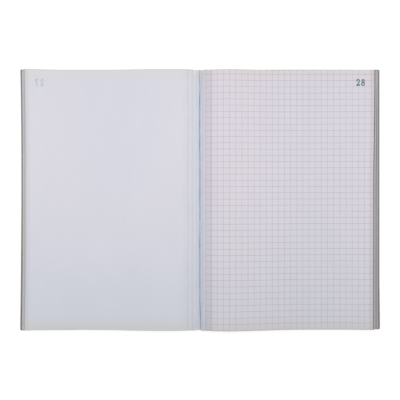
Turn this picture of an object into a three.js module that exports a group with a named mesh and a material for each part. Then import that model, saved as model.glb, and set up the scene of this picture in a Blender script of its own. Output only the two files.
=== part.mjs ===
// An open, lay-flat triplicate book: 50 numbered sets of three copy leaves, glue-bound on
// the long side, opened between set 27 (left) and set 28 (right).
//
// Millimetres, +Z up. The book lies open on the plane z = 0. X runs across the spread, Y along
// the spine (head of the page towards +Y). The origin is the centre of the footprint, and the
// gutter lies GUTTER_X from it.
//
// Every piece is a long prism along Y, so each one is drawn as a closed section in the X-Z plane.
// The leaves of each side are nested: the lowest leaf follows the curve BOTTOM, the top leaf
// follows the curve TOP, and all the others lie between them on the lines that join the two.

import * as THREE from 'three';

// ---------------------------------------------------------------- driving dimensions
const PAGE_HEIGHT = 210;          // leaf, along the spine
const LEAF = 0.068;               // one copy leaf
const SET_LEAVES = 3;             // original, duplicate, triplicate
const SET = SET_LEAVES * LEAF;    // a set's three leaves, lying together
const AIR = 0.022;                // air between two sets, where they lie closest
const LEAF_AIR = 0.010;           // air between two single leaves
const OPEN_AT = 27;               // the last set on the left
const SETS = 50;

const GUTTER_X = -0.56;           // the gutter, from the centre of the footprint
const COVER = 0.6;                // cover board
const COVER_HALF_SPAN = 146.8;    // fore-edges of the covers, from the centre of the footprint
const COVER_OVER = 1.2;           // covers stand out this far at head and tail
const TAPE_OVER = 0.2;            // and the spine tape this far
const SHIELD = 0.4;               // writing shield card

const APEX_Z = 4.85;              // the fold of the spine, under the gutter
const CRACK_Z = 5.35;             // bottom of the visible gutter
const SPINE_LEFT = 4.5;           // the spine's left half, measured across the spread
const SPINE_RIGHT = 3.3;          // the spine's right half
const TAPE = 0.3;                 // cloth tape over the spine

const HINGE_Z = 9.0;              // height of the line that the left half turns about

// Top leaf of each side: [distance from the gutter, height]. The first point is the
// perforation, where the leaf leaves its bound stub, and the last is the fore-edge.
const LEFT_TOP = [
  [4.74, 7.45], [7.5, 8.25], [11.0, 9.1], [15.6, 9.65], [21.5, 9.88], [29.0, 9.85], [38.5, 9.6],
  [48.0, 9.05], [58.0, 8.2], [70.0, 7.25], [84.0, 6.85], [100.0, 6.9], [115.0, 7.35], [128.5, 8.3],
  [140.24, 9.15],
];
const RIGHT_TOP = [
  [4.74, 7.6], [7.0, 8.3], [10.2, 9.25], [13.5, 9.95], [18.0, 10.5], [24.0, 10.65], [31.0, 10.2],
  [39.5, 9.25], [50.0, 8.1], [65.0, 6.95], [82.0, 6.42], [100.0, 6.42], [117.0, 6.7], [129.0, 6.95],
  [140.36, 6.85],
];
const LEFT_BOTTOM_Z = COVER + 0.1;
const RIGHT_BOTTOM_Z = COVER + SHIELD + 0.14;
const LEFT_BOTTOM_END = 144.8;    // fore-edge of the lowest leaf, from the gutter
const RIGHT_BOTTOM_END = 146.1;

// ---------------------------------------------------------------- finishes
const paperCool = new THREE.MeshStandardMaterial({ color: 0xdcdce6, roughness: 0.85, metalness: 0 });
const paperWarm = new THREE.MeshStandardMaterial({ color: 0xdfd9e2, roughness: 0.85, metalness: 0 });
const stubPaper = new THREE.MeshStandardMaterial({ color: 0xc6c9da, roughness: 0.8, metalness: 0 });
const board = new THREE.MeshStandardMaterial({ color: 0x8b8d95, roughness: 0.9, metalness: 0 });
const cloth = new THREE.MeshStandardMaterial({ color: 0x3c4656, roughness: 0.95, metalness: 0 });
const manila = new THREE.MeshStandardMaterial({ color: 0xb9a78a, roughness: 0.9, metalness: 0 });

// ---------------------------------------------------------------- section tools
const book = new THREE.Group();

// A prism of the closed section points [x, z], centred on y = 0.
function prism(name, points, length, material) {
  const shape = new THREE.Shape(points.map(([x, z]) => new THREE.Vector2(x, z)));
  const geometry = new THREE.ExtrudeGeometry(shape, { depth: length, bevelEnabled: false, steps: 1 });
  const mesh = new THREE.Mesh(geometry, material);
  mesh.name = name;
  mesh.rotation.x = Math.PI / 2;      // the section's second axis becomes +Z, its depth -Y
  mesh.position.y = length / 2;
  book.add(mesh);
  return mesh;
}

// One side of the spread: side is -1 on the left and +1 on the right.
function makeSide(side, top, bottomZ, bottomEnd) {
  let run = 0;
  const along = top.map((p, i) => {
    if (i > 0) run += Math.hypot(p[0] - top[i - 1][0], p[1] - top[i - 1][1]);
    return run;
  });
  const start = bottomEnd - run;      // all the leaves are equally long
  const T = top.map(([u, z]) => [GUTTER_X + side * u, z]);
  const B = along.map((s) => [GUTTER_X + side * (start + s), bottomZ]);
  return { side, T, B };
}

const left = makeSide(-1, LEFT_TOP, LEFT_BOTTOM_Z, LEFT_BOTTOM_END);
const right = makeSide(1, RIGHT_TOP, RIGHT_BOTTOM_Z, RIGHT_BOTTOM_END);

// The section of one layer: from share a of the way between BOTTOM and TOP, as thick as stated.
function layer(half, a, thickness) {
  const { T, B } = half;
  const low = T.map((t, i) => [B[i][0] + a * (t[0] - B[i][0]), B[i][1] + a * (t[1] - B[i][1])]);
  const high = low.map((p, i) => {
    const vx = T[i][0] - B[i][0], vz = T[i][1] - B[i][1];
    const v = Math.hypot(vx, vz);
    const q = low[Math.max(i - 1, 0)], r = low[Math.min(i + 1, low.length - 1)];
    const dx = r[0] - q[0], dz = r[1] - q[1], d = Math.hypot(dx, dz);
    const across = Math.abs(vx * dz - vz * dx) / (v * d);   // cosine between the joining line and the normal
    const t = thickness / across;
    return [p[0] + (t * vx) / v, p[1] + (t * vz) / v];
  });
  return [...low, ...high.reverse()];
}

// Lays the listed layers [name, thickness, air, material] from the bottom of one side to its top.
function stack(half, layers) {
  const total = layers.reduce((sum, [, thickness, air]) => sum + thickness + air, 0);
  let at = 0;
  for (const [name, thickness, air, material] of layers) {
    prism(name, layer(half, at / total, thickness), PAGE_HEIGHT, material);
    at += thickness + air;
  }
}

// ---------------------------------------------------------------- leaves
const two = (n) => String(n).padStart(2, '0');

const leftLayers = [];
for (let n = 1; n < OPEN_AT; n++) leftLayers.push([`set_${two(n)}`, SET, AIR, paperCool]);
leftLayers.push([`set_${OPEN_AT}_original_and_duplicate`, 2 * LEAF, AIR, paperCool]);
leftLayers.push([`leaf_${OPEN_AT}_triplicate`, LEAF, LEAF_AIR, paperCool]);
stack(left, leftLayers);

const rightLayers = [];
for (let n = SETS; n > OPEN_AT + 1; n--) rightLayers.push([`set_${two(n)}`, SET, AIR, paperWarm]);
for (const copy of ['triplicate', 'duplicate', 'original']) {
  rightLayers.push([`leaf_${OPEN_AT + 1}_${copy}`, LEAF, LEAF_AIR, paperWarm]);
}
stack(right, rightLayers);

// ---------------------------------------------------------------- bound stubs
// The stubs of each side's leaves, from the spine to the perforation, stuck into one pad.
// Its outer face stands 0.03 off the ends of the leaves.
const GAP = 0.03;
// The right pad ends below the three leaves of set 28, which turn over its top edge.
const under = 1 - (3 * (LEAF + LEAF_AIR) + 0.02) / (3 * (LEAF + LEAF_AIR) + (SETS - OPEN_AT - 1) * (SET + AIR));
const turning = [0, 1].map((k) => right.B[0][k] + under * (right.T[0][k] - right.B[0][k]));
prism('stub_pad_left', [
  [GUTTER_X - 0.02, APEX_Z],
  [GUTTER_X - 0.02, CRACK_Z],
  [GUTTER_X - 1.6, CRACK_Z + 0.95],
  [GUTTER_X - 3.2, CRACK_Z + 1.6],
  [left.T[0][0] + GAP, left.T[0][1]],
  [left.B[0][0] + GAP, LEFT_BOTTOM_Z],
  [GUTTER_X - SPINE_LEFT, LEFT_BOTTOM_Z],
], PAGE_HEIGHT, stubPaper);
prism('stub_pad_right', [
  [GUTTER_X + 0.02, APEX_Z],
  [GUTTER_X + SPINE_RIGHT, LEFT_BOTTOM_Z],
  [right.B[0][0] - GAP - 0.5, LEFT_BOTTOM_Z],
  [right.B[0][0] - GAP, RIGHT_BOTTOM_Z],
  [turning[0] - GAP, turning[1]],
  [GUTTER_X + 3.2, CRACK_Z + 1.5],
  [GUTTER_X + 1.6, CRACK_Z + 0.95],
  [GUTTER_X + 0.02, CRACK_Z],
], PAGE_HEIGHT, stubPaper);

// ---------------------------------------------------------------- spine tape
// One cloth strip, folded up under the gutter, so its two halves are separate solids.
function tapeHalf(name, side, reach) {
  const foot = [GUTTER_X + side * reach, LEFT_BOTTOM_Z - 0.03];
  const apex = [GUTTER_X + side * 0.02, APEX_Z - 0.06];
  const dx = apex[0] - foot[0], dz = apex[1] - foot[1], d = Math.hypot(dx, dz);
  const nx = (side * dz) / d, nz = (-side * dx) / d;        // away from the pad, down and in
  const s = nz > 0 ? -1 : 1;
  const off = (p, t) => [p[0] + s * nx * t, p[1] + s * nz * t];
  const foot0 = off(foot, 0.04), foot1 = off(foot, 0.04 + TAPE);
  const apex0 = off(apex, 0.04), apex1 = off(apex, 0.04 + TAPE);
  const slope = (apex1[1] - foot1[1]) / (apex1[0] - foot1[0]);
  const cut = (p, x) => [x, p[1] + slope * (x - p[0])];     // ends the strip on the fold plane
  const xFold = GUTTER_X + side * 0.02;
  prism(name, [foot0, cut(foot0, xFold), cut(foot1, xFold), foot1], PAGE_HEIGHT + 2 * TAPE_OVER, cloth);
}
tapeHalf('spine_tape_left', -1, SPINE_LEFT);
tapeHalf('spine_tape_right', 1, SPINE_RIGHT);

// ---------------------------------------------------------------- covers and shield
const coverLength = PAGE_HEIGHT + 2 * COVER_OVER;
const leftFoot = GUTTER_X - SPINE_LEFT - 0.35;
const rightFoot = GUTTER_X + SPINE_RIGHT + 0.35;
prism('front_cover', [
  [-COVER_HALF_SPAN, 0], [leftFoot, 0], [leftFoot, COVER], [-COVER_HALF_SPAN, COVER],
], coverLength, board);
prism('back_cover', [
  [rightFoot, 0], [COVER_HALF_SPAN, 0], [COVER_HALF_SPAN, COVER], [rightFoot, COVER],
], coverLength, board);
prism('writing_shield', [
  [right.B[0][0] + 2, COVER + 0.06], [RIGHT_BOTTOM_END + GUTTER_X - 2, COVER + 0.06],
  [RIGHT_BOTTOM_END + GUTTER_X - 2, COVER + 0.06 + SHIELD], [right.B[0][0] + 2, COVER + 0.06 + SHIELD],
], PAGE_HEIGHT - 6, manila);

export default book;
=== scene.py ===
"""Looks of the open triplicate book: thin copy leaves in 50 numbered sets, glued stubs, a
folded cloth spine, grey board covers and a card writing shield. Lengths below are in
millimetres, as in the part, and become metres where meshes are made."""

import math

import bpy
import numpy as np
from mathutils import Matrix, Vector
from mathutils.bvhtree import BVHTree


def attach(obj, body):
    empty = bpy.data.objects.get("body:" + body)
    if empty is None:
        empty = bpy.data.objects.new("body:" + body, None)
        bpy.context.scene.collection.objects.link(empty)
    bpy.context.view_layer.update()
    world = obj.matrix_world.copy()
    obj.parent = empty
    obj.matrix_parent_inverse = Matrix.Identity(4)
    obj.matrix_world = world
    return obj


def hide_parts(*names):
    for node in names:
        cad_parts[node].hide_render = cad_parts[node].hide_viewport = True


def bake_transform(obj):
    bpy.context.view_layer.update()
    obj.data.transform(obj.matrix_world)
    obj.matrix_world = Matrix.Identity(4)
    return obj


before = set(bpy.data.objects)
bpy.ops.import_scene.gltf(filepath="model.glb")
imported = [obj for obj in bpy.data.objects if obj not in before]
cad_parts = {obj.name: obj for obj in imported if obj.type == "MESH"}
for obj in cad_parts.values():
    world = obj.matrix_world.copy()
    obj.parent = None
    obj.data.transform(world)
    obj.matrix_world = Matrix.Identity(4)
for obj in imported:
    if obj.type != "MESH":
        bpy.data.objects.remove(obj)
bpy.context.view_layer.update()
MM = 0.001
rng = np.random.default_rng(28)

# ------------------------------------------------------------------ the part's own dimensions
PAGE_HEIGHT = 210.0
LEAF, SET, AIR, LEAF_AIR = 0.068, 0.204, 0.022, 0.010
OPEN_AT, SETS = 27, 50
GX = -0.56
COVER, SHIELD = 0.6, 0.4
COVER_HALF_SPAN, COVER_OVER = 146.8, 1.2
APEX_Z, CRACK_Z = 4.85, 5.35
SPINE_LEFT, SPINE_RIGHT, TAPE = 4.5, 3.3, 0.3
LEFT_TOP = [
    (4.74, 7.45), (7.5, 8.25), (11.0, 9.1), (15.6, 9.65), (21.5, 9.88), (29.0, 9.85), (38.5, 9.6),
    (48.0, 9.05), (58.0, 8.2), (70.0, 7.25), (84.0, 6.85), (100.0, 6.9), (115.0, 7.35),
    (128.5, 8.3), (140.24, 9.15),
]
RIGHT_TOP = [
    (4.74, 7.6), (7.0, 8.3), (10.2, 9.25), (13.5, 9.95), (18.0, 10.5), (24.0, 10.65), (31.0, 10.2),
    (39.5, 9.25), (50.0, 8.1), (65.0, 6.95), (82.0, 6.42), (100.0, 6.42), (117.0, 6.7),
    (129.0, 6.95), (140.36, 6.85),
]
LEFT_BOTTOM_Z, LEFT_BOTTOM_END = COVER + 0.1, 144.8
RIGHT_BOTTOM_Z, RIGHT_BOTTOM_END = COVER + SHIELD + 0.14, 146.1
GRID_X, GRID_Y, GRID_Y0 = 4.965, 5.02, 0.88      # squares, and the first line above the middle


# ------------------------------------------------------------------ curves of the leaves
def smooth_through(x, y, at):
    """A cubic through the points (x, y) with smoothed slopes, read at the places at."""
    x, y = np.asarray(x, float), np.asarray(y, float)
    h, d = np.diff(x), np.diff(y) / np.diff(x)
    m = np.empty(len(x))
    m[1:-1] = (d[:-1] * h[1:] + d[1:] * h[:-1]) / (h[:-1] + h[1:])
    m[0], m[-1] = 1.5 * d[0] - 0.5 * m[1], 1.5 * d[-1] - 0.5 * m[-2]
    i = np.clip(np.searchsorted(x, at, side="right") - 1, 0, len(h) - 1)
    t = (at - x[i]) / h[i]
    return (
        y[i] * (1 + 2 * t) * (1 - t) ** 2
        + y[i + 1] * t * t * (3 - 2 * t)
        + h[i] * m[i] * t * (1 - t) ** 2
        + h[i] * m[i + 1] * t * t * (t - 1)
    )


class Half:
    """One side of the spread: side is -1 on the left and +1 on the right. A leaf at share lam
    of the way from the lowest leaf to the top one is family(lam, s), s along it from the
    perforation."""

    def __init__(self, side, top, bottom_z, bottom_end):
        self.side, self.bottom_z = side, bottom_z
        u, z = np.array([p[0] for p in top]), np.array([p[1] for p in top])
        self.knots = np.concatenate([[0], np.cumsum(np.hypot(np.diff(u), np.diff(z)))])
        self.run, self.u, self.z = float(self.knots[-1]), u, z
        self.start = bottom_end - self.run
        self.T0 = (GX + side * u[0], z[0])
        self.B0 = (GX + side * self.start, bottom_z)

    def family(self, lam, s):
        tu, tz = smooth_through(self.knots, self.u, s), smooth_through(self.knots, self.z, s)
        tz = tz - self.droop(s)
        bu = self.start + s
        return np.stack(
            [GX + self.side * (bu + lam * (tu - bu)), self.bottom_z + lam * (tz - self.bottom_z)], -1
        )

    def droop(self, s):
        """The last millimetres of the left leaves curl down."""
        if self.side > 0:
            return 0.0 * s
        e = np.clip((s - (self.run - 3.4)) / 3.4, 0, 1.3)
        return 0.62 * e * e

    def band(self, a, thickness, s):
        """Lower and upper line of a layer of this thickness that starts at share a."""
        low, top, bottom = self.family(a, s), self.family(1.0, s), self.family(0.0, s)
        v = top - bottom
        v /= np.linalg.norm(v, axis=1)[:, None]
        d = np.gradient(low, axis=0)
        d /= np.linalg.norm(d, axis=1)[:, None]
        across = np.abs(v[:, 0] * d[:, 1] - v[:, 1] * d[:, 0])
        return low, low + v * (thickness / across)[:, None]


left = Half(-1, LEFT_TOP, LEFT_BOTTOM_Z, LEFT_BOTTOM_END)
right = Half(1, RIGHT_TOP, RIGHT_BOTTOM_Z, RIGHT_BOTTOM_END)


# ------------------------------------------------------------------ mesh making
TOP, UNDER, CUT = 0, 1, 2       # a sheet's material slots: upper face, lower face, cut edges


class Build:
    """Collects closed sheets and turns them into one mesh object."""

    def __init__(self):
        self.v, self.f, self.kind, self.page, self.map, self.tone = [], [], [], [], [], []
        self.n = 0

    def sheet(self, low, high, s, ys, side=1, tone=0.5, place=None, bend=None, skew=0.0):
        """A closed thin sheet. low and high are its two lines in the X-Z plane, s the length
        along them and ys the places along Y. tone is its shade, a number or a function of y. place gives the boxes (u0, v0, u1, v1) on the
        map OFBake for the upper face, the lower face and each of the 4 edges."""
        n, m = len(s), len(ys)
        grid = np.empty((2, n, m, 3))
        for k, line in enumerate((low, high)):
            line = np.asarray(line, float)
            if line.ndim == 2:
                line = np.repeat(line[:, None, :], m, 1)
            grid[k, :, :, 0], grid[k, :, :, 2] = line[:, :, 0], line[:, :, 1]
            grid[k, :, :, 1] = ys[None, :] + skew
        if bend is not None:
            grid += bend(s[:, None] + 0 * ys[None, :], ys[None, :] + 0 * s[:, None])[None]
        index = np.arange(2 * n * m).reshape(2, n, m) + self.n
        ends, long_ = s / max(s[-1] - s[0], 1e-9) - s[0] / max(s[-1] - s[0], 1e-9), (ys - ys[0]) / (ys[-1] - ys[0])
        st = np.stack(np.meshgrid(ends, long_, indexing="ij"), -1)
        pg = np.stack(np.meshgrid(s * MM, ys * MM, indexing="ij"), -1)
        place = place or [(0.0, 0.0, 0.45, 1.0), (0.46, 0.0, 0.9, 1.0)] + [
            (0.91 + 0.02 * k, 0.0, 0.925 + 0.02 * k, 1.0) for k in range(4)
        ]

        def quad(corners, kind, box, where):
            """corners: 4 index arrays; where: 4 arrays of (a, b) in 0..1 for the map."""
            c = np.stack([x.ravel() for x in corners], -1)
            w = np.stack([x.reshape(-1, 2) for x in where], 1)
            u0, v0, u1, v1 = box
            w = np.stack([u0 + (u1 - u0) * w[..., 0], v0 + (v1 - v0) * w[..., 1]], -1)
            self.f.append(c)
            self.kind.append(np.full(len(c), kind))
            self.map.append(w.reshape(-1, 2))
            self.tone.append(tone(grid.reshape(-1, 3)[c.ravel() - self.n, 1]) if callable(tone) else np.full(4 * len(c), tone))

        for k, kind in ((1, TOP), (0, UNDER)):
            a = [index[k, :-1, :-1], index[k, 1:, :-1], index[k, 1:, 1:], index[k, :-1, 1:]]
            w = [st[:-1, :-1], st[1:, :-1], st[1:, 1:], st[:-1, 1:]]
            if (side > 0) != (k == 1):
                a, w = a[::-1], w[::-1]
            quad(a, kind, place[0 if k == 1 else 1], w)
        for e in range(4):
            if e < 2:       # foot and head ends
                j = 0 if e == 0 else m - 1
                a = [index[0, :-1, j], index[0, 1:, j], index[1, 1:, j], index[1, :-1, j]]
                p, q = ends[:-1], ends[1:]
                zero, one = np.zeros_like(p), np.ones_like(p)
                w = [np.stack([zero, p], -1), np.stack([zero, q], -1), np.stack([one, q], -1), np.stack([one, p], -1)]
                flip = (side > 0) != (e == 0)
            else:           # perforation and fore-edge
                i = 0 if e == 2 else n - 1
                a = [index[0, i, :-1], index[0, i, 1:], index[1, i, 1:], index[1, i, :-1]]
                p, q = long_[:-1], long_[1:]
                zero, one = np.zeros_like(p), np.ones_like(p)
                w = [np.stack([zero, p], -1), np.stack([zero, q], -1), np.stack([one, q], -1), np.stack([one, p], -1)]
                flip = (side > 0) != (e == 3)
            if flip:
                a, w = a[::-1], w[::-1]
            quad(a, CUT, place[2 + e], w)
        self.v.append(grid.reshape(-1, 3))
        self.page.append(np.concatenate([pg.reshape(-1, 2)] * 2))
        self.n += 2 * n * m
        return self

    def object(self, name, materials, own_map=True, sharp=40):
        v, f = np.concatenate(self.v) * MM, np.concatenate(self.f)
        me = bpy.data.meshes.new(name)
        me.from_pydata(v.tolist(), [], f.tolist())
        for m in materials:
            me.materials.append(m)
        me.polygons.foreach_set("material_index", np.concatenate(self.kind).astype(np.int32))
        corner = np.empty(len(me.loops), np.int32)
        me.loops.foreach_get("vertex_index", corner)
        page = me.uv_layers.new(name="page")
        page.uv.foreach_set("vector", np.concatenate(self.page)[corner].astype(np.float32).ravel())
        if own_map:
            own = me.uv_layers.new(name="OFBake")
            own.uv.foreach_set("vector", np.concatenate(self.map).astype(np.float32).ravel())
        tone = me.attributes.new("tone", "FLOAT", "CORNER")
        tone.data.foreach_set("value", np.concatenate(self.tone).astype(np.float32))
        me.update(calc_edges=True)
        me.polygons.foreach_set("use_smooth", np.ones(len(me.polygons), bool))
        me.set_sharp_from_angle(angle=math.radians(sharp))
        me.validate()
        ob = bpy.data.objects.new(name, me)
        bpy.context.collection.objects.link(ob)
        return ob


def noise_line(seed, scale, amount, at):
    """A smooth random line: values amount wide with about one bump per scale."""
    r = np.random.default_rng(seed)
    lo, hi = math.floor(at.min() / scale) - 1, math.ceil(at.max() / scale) + 2
    knots = r.uniform(-1, 1, hi - lo + 1)
    t = at / scale - lo
    i = np.clip(t.astype(int), 0, len(knots) - 2)
    w = t - i
    w = w * w * (3 - 2 * w)
    return amount * (knots[i] * (1 - w) + knots[i + 1] * w)


# ------------------------------------------------------------------ materials
def new_material(name):
    m = bpy.data.materials.new(name)
    m.use_nodes = True
    nt = m.node_tree
    nt.nodes.clear()
    out = nt.nodes.new("ShaderNodeOutputMaterial")
    p = nt.nodes.new("ShaderNodeBsdfPrincipled")
    nt.links.new(p.outputs[0], out.inputs["Surface"])
    return m, nt, p


def node(nt, kind, settings=None, **inputs):
    n = nt.nodes.new("ShaderNode" + kind)
    for k, v in (settings or {}).items():
        setattr(n, k, v)
    for k, v in inputs.items():
        socket = n.inputs[int(k[1:])] if k[0] == "i" and k[1:].isdigit() else n.inputs[k.replace("_", " ")]
        if isinstance(v, bpy.types.NodeSocket):
            nt.links.new(v, socket)
        else:
            socket.default_value = v
    return n


def math_(nt, op, a, b=0.0, c=0.0, clamp=False):
    return node(nt, "Math", {"operation": op, "use_clamp": clamp}, i0=a, i1=b, i2=c).outputs[0]


def between(nt, value, low, high, to_low=0.0, to_high=1.0, kind="LINEAR"):
    n = node(nt, "MapRange", {"interpolation_type": kind}, Value=value)
    n.inputs["From Min"].default_value, n.inputs["From Max"].default_value = low, high
    n.inputs["To Min"].default_value, n.inputs["To Max"].default_value = to_low, to_high
    return n.outputs["Result"]


def blend_colour(nt, share, a, b, kind="MIX"):
    n = nt.nodes.new("ShaderNodeMix")
    n.data_type, n.blend_type = "RGBA", kind
    for socket, v in ((n.inputs[0], share), (n.inputs[6], a), (n.inputs[7], b)):
        if isinstance(v, bpy.types.NodeSocket):
            nt.links.new(v, socket)
        else:
            socket.default_value = v if isinstance(v, float) else (*v, 1.0)
    return n.outputs[2]


def noise(nt, where, scale, detail=2.0, rough=0.5, out="Fac"):
    n = node(nt, "TexNoise", None, Vector=where, Scale=scale, Detail=detail, Roughness=rough)
    return n.outputs[0] if out == "Fac" else n.outputs[1]


def object_place(nt):
    return node(nt, "TexCoord").outputs["Object"]


def stretched(nt, where, x, y, z):
    return node(nt, "Mapping", None, Vector=where, Scale=(x, y, z)).outputs[0]


PAPER_LEFT = (0.691, 0.709, 0.787)
PAPER_RIGHT = (0.692, 0.6815, 0.7525)
GRID_INK = (0.482, 0.430, 0.500), (0.436, 0.382, 0.452)     # upright and level lines


def paper(name, colour, run, grid=False, shaded_ends=True, strip=None, dark=0.62, light=1.3, crease_shade=0.0, stub_slope_shade=(0.0, 1.0), slope_shade=None):
    """Uncoated copy paper: cloudy formation, fine fibres, slightly warm painted shade along the
    trimmed ends with a cooler painted light over the tail half, painted shade over the last
    millimetres at the fore-edge, and on ruled sides the thin squares and the row of perforation
    slots along the stub, their darkness painted shade. run is the length of the leaf in
    millimetres, strip the colour of the painted shade in the gaps between the leaves along the
    half millimetre at its fore-edge, dark and light the shares of it that the darkest and the
    lightest leaves have, crease_shade the strength of the painted shade in the soft creases beside
    the stub and stub_slope_shade the painted shade where the page rises from the stub, as a share
    and how far it reaches. slope_shade is a band of painted shade where the page slopes: its
    middle, its half width and its tint, and whether it is only in the upper half."""
    m, nt, p = new_material(name)
    where = object_place(nt)
    page = node(nt, "UVMap", {"uv_map": "page"}).outputs[0]
    cloud = noise(nt, stretched(nt, where, 1, 0.45, 1), 55.0, 3.0, 0.55)
    fibre = noise(nt, stretched(nt, where, 1.0, 0.55, 1), 1500.0, 2.0, 0.6)
    c = blend_colour(nt, between(nt, cloud, 0.3, 0.7), [x * 0.978 for x in colour], [x * 1.012 for x in colour])
    c = blend_colour(nt, between(nt, fibre, 0.35, 0.7, 0.0, 1.0), c, [x * 0.985 for x in colour])
    xyz = node(nt, "SeparateXYZ", None, Vector=page)
    along, up = xyz.outputs[0], xyz.outputs[1]
    # painted shade: a tinted darker band where the page slopes away from the light
    if slope_shade:
        middle, wide, tint, upper = slope_shade
        band = between(nt, math_(nt, "ABSOLUTE", math_(nt, "SUBTRACT", along, middle * MM)), 0.0, wide * MM, 1.0, 0.0, "SMOOTHSTEP")
        if upper:
            band = math_(nt, "MULTIPLY", band, between(nt, up, -0.03, 0.055, 0.0, 1.0, "SMOOTHSTEP"))
        c = blend_colour(nt, band, c, tint, "MULTIPLY")
    if shaded_ends:
        # painted shade, a little warm, along the head and tail ends
        ends = between(nt, math_(nt, "ABSOLUTE", up), 0.0910, 0.1056, 0.0, 0.9, "SMOOTHSTEP")
        c = blend_colour(nt, ends, c, (colour[0] * 0.985, colour[1] * 0.975, colour[2] * 0.888))
        # painted light: the tail half a little cooler in colour
        tail = between(nt, up, -0.105, 0.0, 1.0, 0.0)
        c = blend_colour(nt, tail, c, (0.965, 1.0, 0.995), "MULTIPLY")
        # painted shade: a darker strip along the tail edge
        tail = between(nt, up, -0.1056, -0.093, 1.0, 0.0, "SMOOTHSTEP")
        c = blend_colour(nt, tail, c, (0.972, 0.960, 0.962), "MULTIPLY")
        # painted shade: a thin dark line along both cut ends
        rim = between(nt, math_(nt, "ABSOLUTE", up), 0.1042, 0.1046, 0.0, 0.13)
        c = blend_colour(nt, rim, c, [x * 0.5 for x in colour])
    if grid:
        a = math_(nt, "PINGPONG", along, GRID_X * MM / 2)
        b = math_(nt, "PINGPONG", math_(nt, "SUBTRACT", up, GRID_Y0 * MM), GRID_Y * MM / 2)
        ink = between(nt, noise(nt, where, 420.0, 2.0, 0.6), 0.3, 0.7, 0.62, 1.0)
        for off, colour_ in ((a, GRID_INK[0]), (b, GRID_INK[1])):
            lines = between(nt, off, 0.00010, 0.00019, 1.0, 0.0)
            c = blend_colour(nt, math_(nt, "MULTIPLY", lines, ink), c, colour_)
        first = math_(nt, "ABSOLUTE", math_(nt, "SUBTRACT", along, (GRID_X - 0.34) * MM))      # the frame's line is broader
        lines = between(nt, first, 0.00010, 0.00026, 1.0, 0.0)
        c = blend_colour(nt, math_(nt, "MULTIPLY", lines, ink), c, GRID_INK[0])
    # painted shade where the page rises from the stub, stronger towards the tail
    if stub_slope_shade[0]:
        near = between(nt, along, 0.0, stub_slope_shade[1] * MM, stub_slope_shade[0], 0.0, "SMOOTHSTEP")
        near = math_(nt, "MULTIPLY", near, between(nt, up, -0.106, -0.060, 1.35, 1.0))
        c = blend_colour(nt, near, c, (colour[0] * 0.47, colour[1] * 0.47, colour[2] * 0.53))
    if crease_shade:      # a fleck of pulp, and the painted shade of the soft creases beside the stub
        spot = node(nt, "VectorMath", {"operation": "DISTANCE"}, i0=page, i1=(0.0565, -0.0161, 0.0)).outputs["Value"]
        c = blend_colour(nt, between(nt, spot, 0.0002, 0.0014, 0.05, 0.0, "SMOOTHSTEP"), c, (0.1, 0.1, 0.1))
        drift = noise(nt, stretched(nt, page, 0.0, 1, 1), 26.0, 2.0, 0.5)
        at_ = math_(nt, "ADD", along, between(nt, drift, 0.3, 0.7, -0.0006, 0.0006))
        deep = noise(nt, stretched(nt, page, 0.02, 1, 1), 60.0, 2.0, 0.5)
        total = None
        for middle, wide, share in ((0.0045, 0.0017, 1.05), (0.0017, 0.0009, 0.55), (0.0074, 0.0013, 0.35)):
            off = math_(nt, "ABSOLUTE", math_(nt, "SUBTRACT", at_, middle))
            line = between(nt, off, 0.0, wide, share * crease_shade, 0.0, "SMOOTHSTEP")
            total = line if total is None else math_(nt, "ADD", total, line)
        total = math_(nt, "MULTIPLY", total, between(nt, deep, 0.3, 0.7, 0.5, 1.15))
        c = blend_colour(nt, total, c, [x * 0.5 for x in colour])
    # painted shade over the last millimetres at the fore-edge, where the leaves curl, a little warm
    fore_edge_shade = between(nt, along, (run - 5.2) * MM, (run + 0.1) * MM, 0.0, 0.17, "SMOOTHSTEP")
    c = blend_colour(nt, fore_edge_shade, c, (colour[0] * 0.5, colour[1] * 0.42, colour[2] * 0.28))
    # painted shade in the gaps between the leaves: the last half millimetre of each leaf at its fore-edge, darker or
    # lighter with the leaf's tone
    if strip:
        tone = node(nt, "Attribute", {"attribute_name": "tone"}).outputs["Fac"]
        own = blend_colour(nt, tone, [x * dark for x in strip], [min(1.0, x * light) for x in strip])
        c = blend_colour(nt, between(nt, along, (run - 0.62) * MM, (run - 0.5) * MM), c, own)
    # the perforation slots beside the stub, drawn as painted shade
    slot = math_(nt, "LESS_THAN", math_(nt, "FRACT", math_(nt, "MULTIPLY", up, 1 / 0.0013)), 0.58)
    near = between(nt, along, 0.00010, 0.00016, 1.0, 0.0)
    c = blend_colour(nt, math_(nt, "MULTIPLY", slot, math_(nt, "MULTIPLY", near, 0.28 if crease_shade else 0.55)), c, (0.12, 0.12, 0.15))
    nt.links.new(c, p.inputs["Base Color"])
    nt.links.new(between(nt, fibre, 0.3, 0.7, 0.78, 0.9), p.inputs["Roughness"])
    p.inputs["Specular IOR Level"].default_value = 0.28
    height = math_(nt, "ADD", math_(nt, "MULTIPLY", fibre, 0.35), cloud)
    bump = node(nt, "Bump", None, Height=height, Strength=0.10, Distance=0.0004)
    nt.links.new(bump.outputs[0], p.inputs["Normal"])
    return m


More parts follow.
